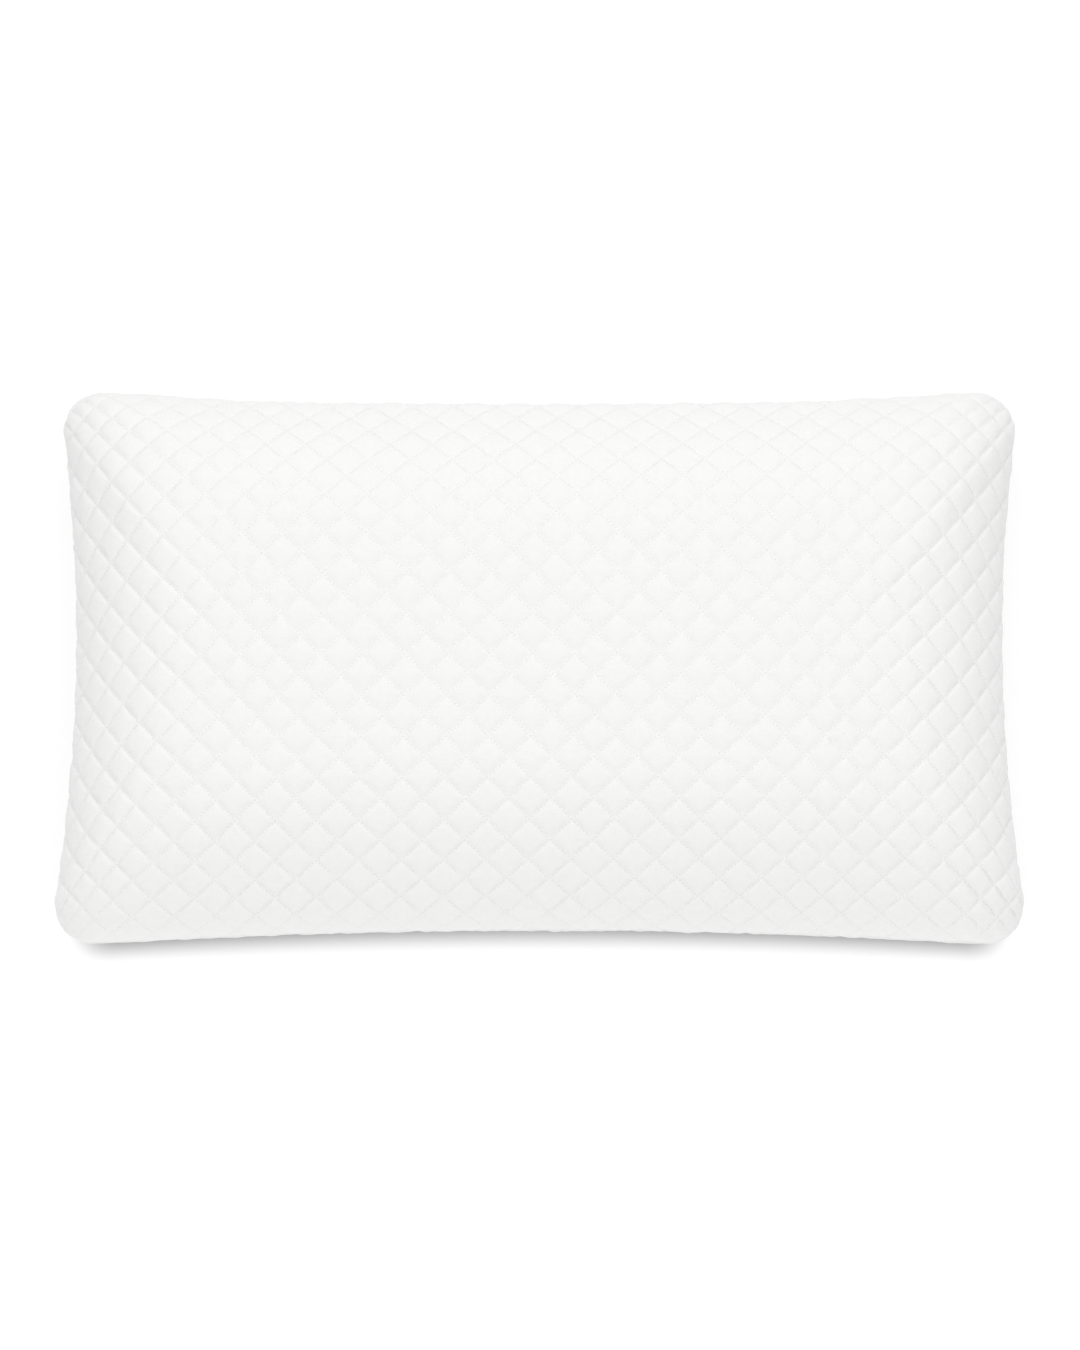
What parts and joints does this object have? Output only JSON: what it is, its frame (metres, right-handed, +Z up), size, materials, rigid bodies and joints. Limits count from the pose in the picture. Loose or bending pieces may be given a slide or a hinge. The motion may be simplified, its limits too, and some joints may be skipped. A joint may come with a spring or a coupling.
{
  "type": "bed pillow",
  "caption": "Plump rectangular bed pillow: moulded foam core in a liner, inside a diamond-quilted knitted cover with a zip along the back.",
  "frame": {"origin": "under the pillow's middle, on the surface that it lies on", "axes": "+X along the pillow's length, +Y across it towards the side with the zip, +Z up through its thickness"},
  "size_m": [0.711, 0.412, 0.145],
  "materials": {
    "quilted_knit": "matte",
    "wadding": "matte",
    "backing": "matte",
    "liner_knit": "matte",
    "foam": "matte",
    "seam_thread": "matte",
    "zip_tape": "matte",
    "zip_coil": "satin",
    "slider_enamel": "satin",
    "label_satin": "satin"
  },
  "bodies": {
    "pillow": {"foam_core": "foam", "liner_top": "liner_knit", "liner_bottom": "liner_knit", "liner_seam": "liner_knit", "cover_top_face": "quilted_knit", "cover_top_wadding": "wadding", "cover_top_backing": "backing", "cover_bottom_face": "quilted_knit", "cover_bottom_wadding": "wadding", "cover_bottom_backing": "backing", "side_seam": "seam_thread", "zip_tape_upper": "zip_tape", "zip_tape_lower": "zip_tape", "zip_coil_upper": "zip_coil", "zip_coil_lower": "zip_coil", "zip_top_stops": "zip_coil", "zip_bottom_stop": "zip_coil", "zip_bartacks": "seam_thread", "care_label": "label_satin"},
    "slider": {"zip_slider": "slider_enamel"},
    "pull": {"zip_pull": "slider_enamel"}
  },
  "joints": [
    {"name": "zip_slide", "type": "slide", "parent": "pillow", "child": "slider", "axis": [-1, 0, 0], "range_m": [0, 0.399]},
    {"name": "pull_swing", "type": "hinge", "parent": "slider", "child": "pull", "pos_m": [0.1997, 0.1978, 0.065], "axis": [0, 0, -1], "range_deg": [0, 180]}
  ]
}
